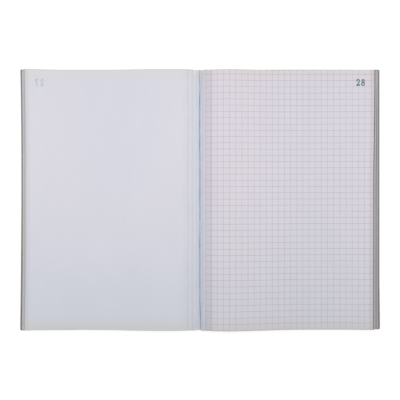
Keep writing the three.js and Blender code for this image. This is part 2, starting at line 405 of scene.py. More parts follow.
def cut_edge(name, colour, dark=0.66, light=1.2):
    """Guillotined ends of thin leaves: each leaf its own shade, partly painted shade between the leaves, with a fine
    grain along it.
    """
    m, nt, p = new_material(name)
    where = object_place(nt)
    tone = node(nt, "Attribute", {"attribute_name": "tone"}).outputs["Fac"]
    grain = noise(nt, stretched(nt, where, 1, 1, 30), 260.0, 3.0, 0.6)
    t = math_(nt, "ADD", math_(nt, "MULTIPLY", tone, 0.75), math_(nt, "MULTIPLY", grain, 0.5))
    c = blend_colour(nt, between(nt, t, 0.15, 1.05), [x * dark for x in colour], [min(1.0, x * light) for x in colour])
    nt.links.new(c, p.inputs["Base Color"])
    nt.links.new(between(nt, grain, 0.3, 0.7, 0.82, 0.95), p.inputs["Roughness"])
    p.inputs["Specular IOR Level"].default_value = 0.2
    bump = node(nt, "Bump", None, Height=grain, Strength=0.25, Distance=0.0002)
    nt.links.new(bump.outputs[0], p.inputs["Normal"])
    return m


def stub(name, colour, paler, crack_tint_and_light):
    """Stub strips, streaked by pressing. paler is how much lighter they are at the perforation
    and crack_tint_and_light their bluish tint beside the crack with the painted light there, which is strongest on the
    right stubs."""
    m, nt, p = new_material(name)
    where = object_place(nt)
    cloud = noise(nt, stretched(nt, where, 1, 0.25, 1), 320.0, 3.0, 0.6)
    streak = noise(nt, stretched(nt, where, 6, 0.12, 6), 260.0, 2.0, 0.6)
    x = node(nt, "SeparateXYZ", None, Vector=where).outputs[0]
    near = between(nt, math_(nt, "ABSOLUTE", math_(nt, "SUBTRACT", x, (GX + 0.36) * MM)), 0.0003, 0.0022, 1.0, 0.0, "SMOOTHSTEP")
    c = blend_colour(nt, between(nt, cloud, 0.3, 0.7), [v * 0.955 for v in colour], [v * 1.02 for v in colour])
    c = blend_colour(nt, between(nt, streak, 0.45, 0.75, 0.0, 0.35), c, (colour[0] * 0.86, colour[1] * 0.9, colour[2] * 0.97))
    # beside the crack: a bluish tint and painted light, which lightens the right stubs most
    c = blend_colour(nt, near, c, crack_tint_and_light, "MULTIPLY")
    far = between(nt, math_(nt, "ABSOLUTE", math_(nt, "SUBTRACT", x, GX * MM)), 0.0030, 0.0046, 0.0, 1.0, "SMOOTHSTEP")
    c = blend_colour(nt, far, c, [min(1.0, v * paler) for v in colour])
    up = node(nt, "SeparateXYZ", None, Vector=where).outputs[1]
    # painted warm light at the head end and painted shade at the tail end
    c = blend_colour(nt, between(nt, up, 0.0910, 0.1046, 0.0, 1.0, "SMOOTHSTEP"), c, (1.045, 0.99, 0.90), "MULTIPLY")
    c = blend_colour(nt, between(nt, up, -0.1056, -0.0930, 1.0, 0.0, "SMOOTHSTEP"), c, (0.955, 0.955, 0.925), "MULTIPLY")
    nt.links.new(c, p.inputs["Base Color"])
    nt.links.new(between(nt, cloud, 0.3, 0.7, 0.62, 0.8), p.inputs["Roughness"])
    p.inputs["Specular IOR Level"].default_value = 0.35
    bump = node(nt, "Bump", None, Height=streak, Strength=0.3, Distance=0.0002)
    nt.links.new(bump.outputs[0], p.inputs["Normal"])
    return m


def glue(name):
    m, nt, p = new_material(name)
    where = object_place(nt)
    blot = noise(nt, stretched(nt, where, 1, 0.4, 1), 240.0, 3.0, 0.6)
    c = blend_colour(nt, between(nt, blot, 0.3, 0.7), (0.265, 0.305, 0.38), (0.445, 0.485, 0.58))
    nt.links.new(c, p.inputs["Base Color"])
    nt.links.new(between(nt, blot, 0.3, 0.7, 0.35, 0.6), p.inputs["Roughness"])
    bump = node(nt, "Bump", None, Height=blot, Strength=0.4, Distance=0.0003)
    nt.links.new(bump.outputs[0], p.inputs["Normal"])
    return m


def cloth(name, colour):
    """Fine plain-weave bookbinding cloth, drawn in the strip's own lengths."""
    m, nt, p = new_material(name)
    page = node(nt, "UVMap", {"uv_map": "page"}).outputs[0]
    xyz = node(nt, "SeparateXYZ", None, Vector=page)
    warp = math_(nt, "SINE", math_(nt, "MULTIPLY", xyz.outputs[0], 2 * math.pi / 0.00062))
    weft = math_(nt, "SINE", math_(nt, "MULTIPLY", xyz.outputs[1], 2 * math.pi / 0.00062))
    over = math_(nt, "MULTIPLY", warp, weft)
    slub = noise(nt, stretched(nt, page, 1, 9, 1), 320.0, 3.0, 0.6)
    wear = noise(nt, page, 45.0, 4.0, 0.6)
    t = math_(nt, "ADD", math_(nt, "MULTIPLY", over, 0.22), math_(nt, "MULTIPLY", slub, 0.8))
    c = blend_colour(nt, between(nt, t, 0.15, 0.75), [v * 0.62 for v in colour], [v * 1.3 for v in colour])
    c = blend_colour(nt, between(nt, wear, 0.55, 0.8, 0.0, 0.3), c, [min(1.0, v * 2.0 + 0.03) for v in colour])
    nt.links.new(c, p.inputs["Base Color"])
    nt.links.new(between(nt, slub, 0.3, 0.7, 0.78, 0.92), p.inputs["Roughness"])
    p.inputs["Sheen Weight"].default_value = 0.25
    p.inputs["Sheen Roughness"].default_value = 0.5
    bump = node(nt, "Bump", None, Height=t, Strength=0.55, Distance=0.00012)
    nt.links.new(bump.outputs[0], p.inputs["Normal"])
    return m


def grained_board(name, colour):
    """Covering paper on the boards, with a fine pebbled grain and rubbed edges."""
    m, nt, p = new_material(name)
    where = object_place(nt)
    cell = node(nt, "TexVoronoi", {"feature": "SMOOTH_F1"}, Vector=where, Scale=900.0)
    grain = cell.outputs["Distance"]
    cloud = noise(nt, where, 38.0, 4.0, 0.6)
    c = blend_colour(nt, between(nt, grain, 0.15, 0.7), [v * 1.12 for v in colour], [v * 0.84 for v in colour])
    c = blend_colour(nt, between(nt, cloud, 0.35, 0.75, 0.0, 0.5), c, [v * 1.08 for v in colour])
    xyz = node(nt, "SeparateXYZ", None, Vector=where)
    ex = between(nt, math_(nt, "ABSOLUTE", xyz.outputs[0]), 0.1452, 0.1469, 0.0, 1.0)
    ey = between(nt, math_(nt, "ABSOLUTE", xyz.outputs[1]), 0.1040, 0.1055, 0.0, 1.0)
    rub = noise(nt, where, 300.0, 3.0, 0.65)
    rubbed = math_(nt, "MULTIPLY", math_(nt, "MAXIMUM", ex, ey), between(nt, rub, 0.42, 0.6))
    c = blend_colour(nt, math_(nt, "MULTIPLY", rubbed, 0.45), c, [min(1.0, v * 1.4 + 0.03) for v in colour])
    nt.links.new(c, p.inputs["Base Color"])
    nt.links.new(between(nt, grain, 0.1, 0.8, 0.5, 0.68), p.inputs["Roughness"])
    p.inputs["Specular IOR Level"].default_value = 0.4
    bump = node(nt, "Bump", None, Height=math_(nt, "SUBTRACT", 1.0, grain), Strength=0.35, Distance=0.00015)
    nt.links.new(bump.outputs[0], p.inputs["Normal"])
    return m


def fibre_board(name, colour, flecks=0.35):
    """Grey board or card: short fibres and darker flecks."""
    m, nt, p = new_material(name)
    where = object_place(nt)
    fibre = noise(nt, stretched(nt, where, 1, 0.35, 3), 900.0, 3.0, 0.65)
    fleck = noise(nt, stretched(nt, where, 1.6, 0.7, 1), 420.0, 4.0, 0.7)
    cloud = noise(nt, where, 40.0, 3.0, 0.55)
    c = blend_colour(nt, between(nt, fibre, 0.3, 0.7), [v * 0.9 for v in colour], [min(1.0, v * 1.08) for v in colour])
    c = blend_colour(nt, between(nt, fleck, 0.58, 0.72, 0.0, flecks), c, [v * 0.5 for v in colour])
    c = blend_colour(nt, between(nt, cloud, 0.3, 0.7, 0.0, 0.35), c, [v * 0.93 for v in colour])
    nt.links.new(c, p.inputs["Base Color"])
    nt.links.new(between(nt, fibre, 0.3, 0.7, 0.84, 0.96), p.inputs["Roughness"])
    p.inputs["Specular IOR Level"].default_value = 0.22
    bump = node(nt, "Bump", None, Height=fibre, Strength=0.3, Distance=0.0002)
    nt.links.new(bump.outputs[0], p.inputs["Normal"])
    return m


def printed(name, colour, thin=0.25):
    """Stamped figures: the ink lies unevenly and is thinner in spots."""
    m, nt, p = new_material(name)
    where = object_place(nt)
    blot = noise(nt, where, 2200.0, 3.0, 0.65)
    c = blend_colour(nt, between(nt, blot, 0.35, 0.75, 0.0, thin), colour, [min(1.0, v * 1.5 + 0.03) for v in colour])
    nt.links.new(c, p.inputs["Base Color"])
    nt.links.new(between(nt, blot, 0.3, 0.7, 0.6, 0.8), p.inputs["Roughness"])
    return m


left_page = paper("paper_left", PAPER_LEFT, left.run, crease_shade=0.19, stub_slope_shade=(0.17, 2.4), slope_shade=(60, 46, (0.968, 0.98, 0.992), True))
# strip: the colour of the painted shade in the gaps between the leaves at the fore-edge
left_inner = paper("paper_left_inner", PAPER_LEFT, left.run, strip=(0.47, 0.463, 0.478))
right_page = paper("paper_right", PAPER_RIGHT, right.run)
right_inner = paper("paper_right_inner", PAPER_RIGHT, right.run, strip=(0.37, 0.36, 0.375), dark=0.2, light=1.5)
ruled_page = paper("paper_ruled", PAPER_RIGHT, right.run, grid=True, stub_slope_shade=(0.225, 10.0), slope_shade=(92, 62, (0.971, 0.992, 1.0025), False))
ruled_inner = paper("paper_ruled_inner", PAPER_RIGHT, right.run, grid=True, strip=(0.37, 0.36, 0.375), dark=0.2, light=1.5, stub_slope_shade=(0.225, 10.0))
ruled_left = paper("paper_ruled_left", PAPER_LEFT, left.run, grid=True)
# the cut edges are darker than the paper: their own grey, with painted shade between the leaves
edge_left = cut_edge("cut_edges_left", (0.56, 0.56, 0.58))
edge_right = cut_edge("cut_edges_right", (0.42, 0.41, 0.42), 0.24, 1.38)
stub_paper = stub("stub_paper_left", (0.650, 0.685, 0.762), 1.04, (0.98, 1.013, 1.035))
stub_right = stub("stub_paper_right", (0.579, 0.609, 0.695), 1.07, (1.04, 1.065, 1.08))
glue_film = glue("binding_glue")
book_cloth = cloth("spine_cloth", (0.055, 0.075, 0.12))
outer_board = grained_board("cover_paper", (0.235, 0.232, 0.235))
board_edge = fibre_board("board_edge", (0.25, 0.25, 0.25))
liner = fibre_board("cover_lining", (0.62, 0.62, 0.63), 0.12)
manila = fibre_board("shield_card", (0.48, 0.40, 0.28), 0.3)
ink = printed("number_ink", (0.001, 0.13, 0.104))
ghost_ink = printed("number_show_through", (0.485, 0.53, 0.575), 0.3)

# ------------------------------------------------------------------ camera, light, floor
cam_data = bpy.data.cameras.new("camera")
cam_data.lens, cam_data.sensor_width = 50.2, 36.0
cam_data.clip_start, cam_data.clip_end = 0.01, 20.0
camera = bpy.data.objects.new("camera", cam_data)
camera.location = (0.0, 0.0, 0.45685)
bpy.context.collection.objects.link(camera)
bpy.context.scene.camera = camera
bpy.context.scene.view_settings.view_transform = "Standard"
bpy.context.scene.view_settings.look = "None"


def area_light(name, place, aim, size, power, spread=180.0, colour=(1, 1, 1)):
    d = bpy.data.lights.new(name, "AREA")
    d.shape, d.size, d.size_y, d.energy, d.color = "RECTANGLE", size[0], size[1], power, colour
    d.spread = math.radians(spread)
    o = bpy.data.objects.new(name, d)
    o.location = place
    o.rotation_mode = "QUATERNION"
    o.rotation_quaternion = (Vector(aim) - Vector(place)).to_track_quat("-Z", "Y")
    o.visible_camera = False
    bpy.context.collection.objects.link(o)
    return o


area_light("strip", (0.0, 0.065, 0.38), (0, 0.065, 0), (2.4, 0.10), 3.05, colour=(1.10, 0.993, 0.97))
area_light("softbox", (0.0, 0.2, 1.4), (0, 0.0, 0), (1.9, 1.0), 4.0, colour=(0.85, 1.0, 1.03))
world = bpy.data.worlds.new("studio")      # bright towards the horizon, softer overhead
world.use_nodes = True
wt = world.node_tree
over = node(wt, "SeparateXYZ", None, Vector=node(wt, "TexCoord").outputs["Generated"]).outputs[2]
glow = between(wt, math_(wt, "ABSOLUTE", over), 0.25, 0.6, 1.0, 0.16, "SMOOTHSTEP")
seen = math_(wt, "MAXIMUM", glow, node(wt, "LightPath").outputs["Is Camera Ray"])       # a white backdrop
wt.nodes["Background"].inputs[0].default_value = (1.0, 1.0, 1.0, 1.0)
wt.links.new(seen, wt.nodes["Background"].inputs[1])
bpy.context.scene.world = world

floor_mesh = bpy.data.meshes.new("floor")
w = 3.0
floor_mesh.from_pydata([(-w, -w, -5e-5), (w, -w, -5e-5), (w, w, -5e-5), (-w, w, -5e-5)], [], [(0, 1, 2, 3)])
floor = bpy.data.objects.new("floor", floor_mesh)
bpy.context.collection.objects.link(floor)
m, nt, p = new_material("floor")
p.inputs["Base Color"].default_value = (0.17, 0.17, 0.17, 1)
p.inputs["Roughness"].default_value = 0.9
p.inputs["Specular IOR Level"].default_value = 0.1
p.inputs["Emission Color"].default_value = (1, 1, 1, 1)
p.inputs["Emission Strength"].default_value = 0.89
see = nt.nodes.new("ShaderNodeBsdfTransparent")
side_mix = nt.nodes.new("ShaderNodeMixShader")
nt.links.new(node(nt, "NewGeometry").outputs["Backfacing"], side_mix.inputs[0])
nt.links.new(p.outputs[0], side_mix.inputs[1])
nt.links.new(see.outputs[0], side_mix.inputs[2])
nt.links.new(side_mix.outputs[0], nt.nodes["Material Output"].inputs["Surface"])
floor_mesh.materials.append(m)

# ------------------------------------------------------------------ leaves
HALF = PAGE_HEIGHT / 2
COARSE_Y = np.linspace(-HALF, HALF, 13)
FINE_Y = np.linspace(-HALF, HALF, 49)


def stations(half, fine):
    near, far = (38, 46) if fine else (13, 16)
    a = np.linspace(0, 30, near)
    b = np.linspace(30, half.run, far + 1)[1:]
    return np.concatenate([a, b])


def ripple(half):
    """Soft creases beside the fold and a faint waviness of the sheet, in millimetres."""

    def bend(s, y):
        out = np.zeros((*s.shape, 3))
        near = np.exp(-((s / 11.0) ** 2))
        wave = 0.05 * np.sin(s * 1.35 + 0.6 * np.sin(y / 31.0)) + 0.035 * np.sin(s * 2.3 + y / 19.0)
        wave *= near * (s > 0) * np.clip(s / 1.5, 0, 1)
        slow = 0.05 * np.sin(y / 24.0 + s / 45.0) * np.sin(s / 38.0 + 0.4) + 0.03 * np.sin(y / 11.0 + s / 70.0)
        slow *= np.clip(s / 20.0, 0, 1)
        out[:, :, 2] = (wave * (1.0 if half.side < 0 else 0.35)) + slow
        return out

    return bend


def curl(lam, u, y):
    """The left leaves turn up at both corners of the fore-edge and sag between them. u is the
    distance from the gutter past which a leaf is flat no more, in shares of 55 mm."""
    u = np.clip(u, 0, None) ** 2
    v = np.clip((np.abs(y) - 30) / 75, 0, None) ** 2
    lowest = np.where(y > 0, 2.3, 2.15)
    return ((1 - lam) * lowest + 0.7 * lam) * u * v - 1.7 * lam * u * (1 - np.clip(v, 0, 1))


def turned(lam, s, half):
    """The upper leaves lie a little turned in their plane: how far each place is to the head."""
    if half.side < 0:
        return lam**2 * 0.28 * np.clip((s - 55) / 60, 0, 1)
    return lam**2 * np.interp(s, [0, 30, 75, 110], [-0.26, -0.24, 0.0, 0.10])


def trimmed(s, y, half):
    """The block is cut a little short beyond the middle of the page: the right one at the tail."""
    if half.side < 0:
        return -np.interp(s, [85, 105, 122, 136], [0.0, 0.2, 0.2, 0.0]) * y / 105
    return np.interp(s, [48, 70, 118, 136], [0.0, 0.26, 0.26, 0.05]) * np.clip(-y / 105, 0, 1)


def bow(lam, s, y, half):
    """How far the fore-edge of the upper right leaves stands out towards the head."""
    if half.side < 0:
        return 0.0 * y
    e = np.clip((s - (half.run - 22)) / 22, 0, 1) ** 2
    share = np.interp(lam, [0, 0.35, 0.5, 0.63, 1], [0, 0.1, 0.25, 0.95, 1])       # the upper leaves together
    return e * share * np.interp(y, [-105, -40, 18, 48, 75, 105], [-0.5, -0.45, -0.33, 0.18, 0.38, 0.5])


# clumps of the right fore-edge that change along it: their leaves, and by how much their painted shade differs at
# places along y
CLUMPS = (
    (([0.78, 0.84], [0, 1]), ([15, 32, 66, 72, 80, 90, 97, 104], [0, -0.2, -0.2, -0.06, 0.02, 0.09, 0.16, 0.23])),
    (([0.55, 0.6, 0.74, 0.79], [0, 1, 1, 0]), ([26, 36, 62, 70, 78, 88, 104], [0, 0.15, 0.15, 0, -0.09, -0.14, -0.18])),
    (([0.28, 0.34, 0.5, 0.56], [0, 1, 1, 0]), ([-90, 15, 35, 64, 71, 78, 84, 90, 97, 104], [0.11, 0.11, 0, 0, 0.07, 0.18, 0.25, 0.33, 0.44, 0.55])),
)


def clump_tone_and_shade(half, lam, stray):
    """Shade of the fore-edges, from the lowest leaf to the top one: the leaves' own tone and painted shade in the gaps,
    darkest under the upper leaves. stray is the leaf's own part.
    """
    # the darker leaves stand for painted shade: on the left under the curled upper leaves, on the right in the gaps
    # under the upper clumps
    if half.side < 0:
        return float(np.clip(np.interp(lam, [0, 0.08, 0.45, 0.58, 0.68, 0.92, 1.0], [0.6, 0.97, 0.94, 0.72, 0.5, 0.42, 0.5]) + stray, 0, 1))
    base = np.interp(lam, [0, 0.06, 0.1, 0.26, 0.32, 0.52, 0.58, 0.75, 0.81, 1.0], [0.6, 0.9, 1.0, 1.0, 0.3, 0.2, 1.0, 1.0, 0.0, 0.0])
    base = 0.2 + 0.646 * float(np.clip(base + stray, 0, 1))

    def tone(y):
        return np.clip(base + sum(np.interp(lam, *where) * np.interp(y, *change) for where, change in CLUMPS), 0, 1)

    return tone


def leaf_places(k, count, wide):
    """Boxes on the bake map for leaf k of count in one piece: the leaf that shows gets the most."""
    if count == 1:
        faces = [(0.0, 0.0, 0.80, 1.0), (0.81, 0.0, 0.915, 1.0)]
        return faces + [(0.925 + 0.018 * e, 0.0, 0.937 + 0.018 * e, 1.0) for e in range(4)]
    top_share = {"top": (0.0, 0.62), "bottom": (0.0, 0.05), "none": (0.0, 0.2)}[wide]
    bottom_share = {"top": 0.05, "bottom": 0.62, "none": 0.2}[wide]
    rest = (0.80 - top_share[1] - bottom_share) / (2 * count - 2)
    widths = []
    for i in range(count):
        widths.append(bottom_share if i == 0 else rest)         # lower face
        widths.append(top_share[1] if i == count - 1 else rest)   # upper face
    starts = np.concatenate([[0], np.cumsum(widths)])
    low = (starts[2 * k] + 0.002, 0.0, starts[2 * k + 1] - 0.002, 1.0)
    top = (starts[2 * k + 1] + 0.002, 0.0, starts[2 * k + 2] - 0.002, 1.0)
    cuts = [(0.81 + (0.19 / (4 * count)) * (4 * k + e), 0.0, 0.81 + (0.19 / (4 * count)) * (4 * k + e + 0.72), 1.0) for e in range(4)]
    return [top, low] + cuts


def set_piece(half, node_name, leaves, at, thickness, total, materials, body, fine=False, wide="none"):
    """The leaves of one CAD layer, from share at/total of the stack, as one object."""
    build = Build()
    s = stations(half, fine)
    ys = FINE_Y if fine else COARSE_Y
    low, high = half.band(at / total, thickness, s)
    lam = at / total
    group = rng.normal(0, 0.05)
    bend = ripple(half)
    for k in range(leaves):
        a, b = (k + 0.03) / leaves, (k + 0.97) / leaves
        if leaves == 1:
            a, b = 0.0, 1.0
        lo, hi = low + (high - low) * a, low + (high - low) * b
        shift = float(np.clip(group + rng.normal(0, 0.03), -0.15, 0.15))
        if fine:
            shift *= 0.2
        reach = float(rng.normal(0, 0.035)) + fore_edge(half, lam)
        e = np.clip((s - (half.run - 22)) / 22, 0, 1) ** 2
        lo, hi = lo.copy(), hi.copy()
        lo[:, 0] += half.side * reach * e
        hi[:, 0] += half.side * reach * e
        skew = shift + (0.55 * (1 - lam) ** 2 if half.side > 0 else 0.0)
        here = (at + thickness * (k + 0.5) / leaves) / total

        def shape(s_, y_, here=here):
            out = bend(s_, y_) * here**8
            out[:, :, 0] += bow(here, s_, y_, half)
            out[:, :, 1] += turned(here, s_, half) + trimmed(s_, y_, half)
            if half.side < 0:
                out[:, :, 2] += curl(here, (s_ - (half.run - 55)) / 55, y_)
            return out

        tone = clump_tone_and_shade(half, here, rng.normal(0, 0.08))
        build.sheet(lo, hi, s, ys, half.side, tone, leaf_places(k, leaves, wide), shape, skew)
    ob = build.object(node_name + ("_sheet" if leaves == 1 else "_leaves"), materials)
    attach(ob, body)
    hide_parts(node_name)
    return ob


def fore_edge(half, lam):
    """How far a leaf stands out past the even fan of fore-edges: the block lies in clumps."""
    if half.side > 0:
        first, steps = 0.22, ((0.86, 0.0), (0.48, 0.0), (0.16, -0.36))
    else:
        first, steps = -0.12, ((0.9, -0.10), (0.5, 0.10), (0.2, -0.30))
    return first + sum(h / (1 + math.exp((lam - at) * 160)) for at, h in steps)


sheets = {}
left_total = (OPEN_AT - 1) * (SET + AIR) + 2 * LEAF + AIR + LEAF + LEAF_AIR
at = 0.0
for n in range(1, OPEN_AT):
    name = f"set_{n:02d}"
    under = ruled_left if n == 1 else left_page
    sheets[name] = set_piece(
        left, name, 3, at, SET, left_total, [left_inner, under, edge_left], "left_block",
        wide="bottom" if n == 1 else "none",
    )
    at += SET + AIR
name = f"set_{OPEN_AT}_original_and_duplicate"
sheets[name] = set_piece(
    left, name, 2, at, 2 * LEAF, left_total, [left_inner, left_page, edge_left], "left_block",
)
at += 2 * LEAF + AIR
name = f"leaf_{OPEN_AT}_triplicate"
sheets[name] = set_piece(
    left, name, 1, at, LEAF, left_total, [left_page, ruled_left, edge_left], "left_block",
    fine=True,
)

right_total = (SETS - OPEN_AT - 1) * (SET + AIR) + 3 * (LEAF + LEAF_AIR)
at = 0.0
for n in range(SETS, OPEN_AT + 1, -1):
    name = f"set_{n:02d}"
    last = n == OPEN_AT + 2
    sheets[name] = set_piece(
        right, name, 3, at, SET, right_total, [ruled_inner if last else right_inner, right_page, edge_right],
        "right_block", fine=last, wide="top" if last else "none",
    )
    at += SET + AIR
for copy in ("triplicate", "duplicate", "original"):
    name = f"leaf_{OPEN_AT + 1}_{copy}"
    sheets[name] = set_piece(
        right, name, 1, at, LEAF, right_total, [ruled_page, right_page, edge_right], name,
        fine=True,
    )
    at += LEAF + LEAF_AIR

# ------------------------------------------------------------------ stubs, fold and spine
BEND = ((GX - SPINE_LEFT, 0.0, 5.0), (GX + SPINE_RIGHT, 0.0, 5.0))
GUTTER_Y = np.linspace(-HALF, HALF, 131)
# places along the fold where the crack gapes a little
GAPES = [(y, h) for y, h in ((82, 5), (62, 4), (44, 5), (22, 4), (-36, 4), (-52, 4), (-85, 6), (-94, 3), (4, 3), (-14, 3), (-68, 3))]


def crack(y):
    """Half the width of the crack, in millimetres, along the fold."""
    wide = 0.122 + noise_line(5, 9.0, 0.045, y) + noise_line(6, 3.5, 0.03, y)
    for at_, half_ in GAPES:
        wide = wide + 0.13 * np.exp(-(((y - at_) / half_) ** 2))
    return wide * np.interp(y, [97, 103], [1.0, 0.3])


def wander(y):
    aside = np.interp(y, [-105, -99, -92, -88, -83], [0.66, 0.52, 0.38, 0.30, 0.0])
    return 0.36 + aside + noise_line(9, 23.0, 0.12, y) + noise_line(10, 7.0, 0.05, y)


def stub_strips(half, first, last, count, name, colour, tau_n=14):
    """Stub strips between the spine and the perforation, lying like the leaves they held."""
    build = Build()
    side, ys = half.side, GUTTER_Y
    reach = SPINE_LEFT if side < 0 else SPINE_RIGHT
    tau = np.linspace(0, 1, tau_n) ** 1.25
    crest = np.array([[GX + side * 0.02, CRACK_Z], [GX + side * 1.6, CRACK_Z + 0.95], [GX + side * 3.2, CRACK_Z + 1.6], [half.T0[0] - side * 0.03, half.T0[1]]])
    along = np.concatenate([[0], np.cumsum(np.hypot(*np.diff(crest, axis=0).T))])
    along /= along[-1]
    straight = crest[0] + (crest[-1] - crest[0]) * tau[:, None]
    swell = np.stack([np.interp(tau, along, crest[:, k]) for k in (0, 1)], -1) - straight
    w, c = wander(ys), crack(ys)

    def line(lam):
        out = np.array([half.B0[0] - side * 0.03, half.bottom_z]) * (1 - lam) + np.array([half.T0[0] - side * 0.03, half.T0[1]]) * lam
        if lam < 0.9:
            q = lam / 0.9
            inner = np.array([GX + side * (reach - (reach - 0.06) * q), 0.72 + (APEX_Z + 0.06 - 0.72) * q])
        else:
            q = (lam - 0.9) / 0.1
            inner = np.array([GX + side * 0.06, APEX_Z + 0.06 + (CRACK_Z - APEX_Z - 0.06) * q])
        pts = inner + (out - inner) * tau[:, None] + swell * lam**1.5
        return pts, np.clip((lam - 0.55) / 0.45, 0, 1)

    for k in range(count):
        a = first + (last - first) * k / count
        b = first + (last - first) * (k + 0.9) / count
        lo, open_lo = line(a)
        hi, open_hi = line(b)
        grid = []
        for pts, opened in ((lo, open_lo), (hi, open_hi)):
            g = np.repeat(pts[:, None, :], len(ys), 1)
            # near the fold each strip ends short of it by the crack, wandering a little
            push = (side * c * opened + w * opened)[None, :] * ((1 - tau) ** 3)[:, None]
            g[:, :, 0] += push
            g[:, :, 1] += (0.25 * (c - 0.155) * opened)[None, :] * ((1 - tau) ** 4)[:, None]
            grid.append(g)
        length = np.concatenate([[0], np.cumsum(np.hypot(*np.diff(hi, axis=0).T))])
        skew = float(np.clip(rng.normal(0, 0.05), -0.15, 0.15))

        def lower(s_, y_, opened=(open_lo + open_hi) / 2, run=length[-1]):
            """The upper strips sit a little towards the tail, like the leaves they held."""
            out = np.zeros((*s_.shape, 3))
            tail = np.clip((-y_ - 98) / 7, 0, 1) ** 2
            off = 0.24 + 0.40 * tail if side > 0 else (0.14 + 0.30 * tail) * s_ / run
            out[:, :, 1] = -off * opened
            return out

        build.sheet(grid[0], grid[1], length, ys, side, float(rng.uniform(0, 1)), None, lower, skew)
    return build.object(name, [colour, colour, colour], own_map=False, sharp=30)


under = 1 - (3 * (LEAF + LEAF_AIR) + 0.02) / right_total
pad_left = stub_strips(left, 0.0, 1.0, 27, "stubs_left", stub_paper, 13)
[tuple(v * MM for v in p_) for p_ in BEND]
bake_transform(pad_left)
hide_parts("stub_pad_left")
pad_right = stub_strips(right, 0.0, under, 22, "stubs_right", stub_right)
[tuple(v * MM for v in p_) for p_ in BEND]
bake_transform(pad_right)
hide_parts("stub_pad_right")
stubs_28 = stub_strips(right, under + 0.001, 1.0 - (LEAF_AIR + 0.035) / right_total, 3, "stubs_of_set_28", stub_right)
[tuple(v * MM for v in p_) for p_ in BEND]
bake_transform(stubs_28)

# the film of glue that the crack shows
build = Build()
x = np.linspace(-1.5, 1.5, 13)
w, c = wander(GUTTER_Y), crack(GUTTER_Y)
low = np.stack([np.repeat(GX + x[:, None], len(GUTTER_Y), 1) + 0.6 * w[None, :], np.repeat((APEX_Z - 0.16 - 0.55 * np.abs(x))[:, None], len(GUTTER_Y), 1)], -1)
high = low.copy()
high[:, :, 1] += 0.12 + 0.05 * np.exp(-((x / 0.5) ** 2))[:, None]
build.sheet(low, high, x - x[0], GUTTER_Y, 1, 0.5)
film = build.object("glue_in_the_fold", [glue_film] * 3, own_map=False)
[tuple(v * MM for v in p_) for p_ in BEND]
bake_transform(film)


def strip_along(points, thickness, ys, name, material, rounding=0.0, per=0.35):
    """A strip of even thickness below the line of points [x, z], closed, for cloth."""
    pts = np.array(points, float)
    if rounding:
        for _ in range(3):      # cut the corners until the line is round
            q = [pts[0]]
            for a, b in zip(pts[:-1], pts[1:]):
                q += [a * 0.75 + b * 0.25, a * 0.25 + b * 0.75]
            pts = np.array(q + [pts[-1]])
    along = np.concatenate([[0], np.cumsum(np.hypot(*np.diff(pts, axis=0).T))])
    s = np.linspace(0, along[-1], max(8, int(along[-1] / per)))
    line = np.stack([np.interp(s, along, pts[:, k]) for k in (0, 1)], -1)
    d = np.gradient(line, axis=0)
    d /= np.linalg.norm(d, axis=1)[:, None]
    normal = np.stack([d[:, 1], -d[:, 0]], -1)       # to the right of the way: below a rightward line
    build = Build()
    build.sheet(line + normal * thickness, line, s, ys, 1, 0.5)
    return build.object(name, [material] * 3, own_map=False, sharp=50)


SPINE_Y = np.linspace(-HALF - 0.35, HALF + 0.35, 43)
tape = strip_along(
    [(GX - SPINE_LEFT, 0.62), (GX - 2.4, 2.55), (GX - 0.9, 3.98), (GX - 0.28, 4.55), (GX, 4.70), (GX + 0.28, 4.55), (GX + 0.8, 3.86), (GX + 1.9, 2.35), (GX + SPINE_RIGHT, 0.62)],
    TAPE, SPINE_Y, "spine_cloth_fold", book_cloth, rounding=0.3, per=0.25,
)
[tuple(v * MM for v in p_) for p_ in BEND]
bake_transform(tape)
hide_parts("spine_tape_left", "spine_tape_right")

# cloth from the foot of each spine half on to the outside of the cover
WING = 12.0
wing_left = strip_along(
    [(-5.42 - WING, 0.14), (-5.6, 0.14), (-5.36, 0.17), (-5.20, 0.30), (-5.10, 0.46), (-4.98, 0.60)],
    0.14, SPINE_Y, "hinge_cloth_front", book_cloth, per=0.12,
)
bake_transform(wing_left)
wing_right = strip_along(
    [(2.66, 0.60), (2.78, 0.46), (2.88, 0.30), (3.04, 0.17), (3.26, 0.14), (3.10 + WING, 0.14)],
    0.14, SPINE_Y, "hinge_cloth_back", book_cloth, per=0.12,
)
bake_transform(wing_right)


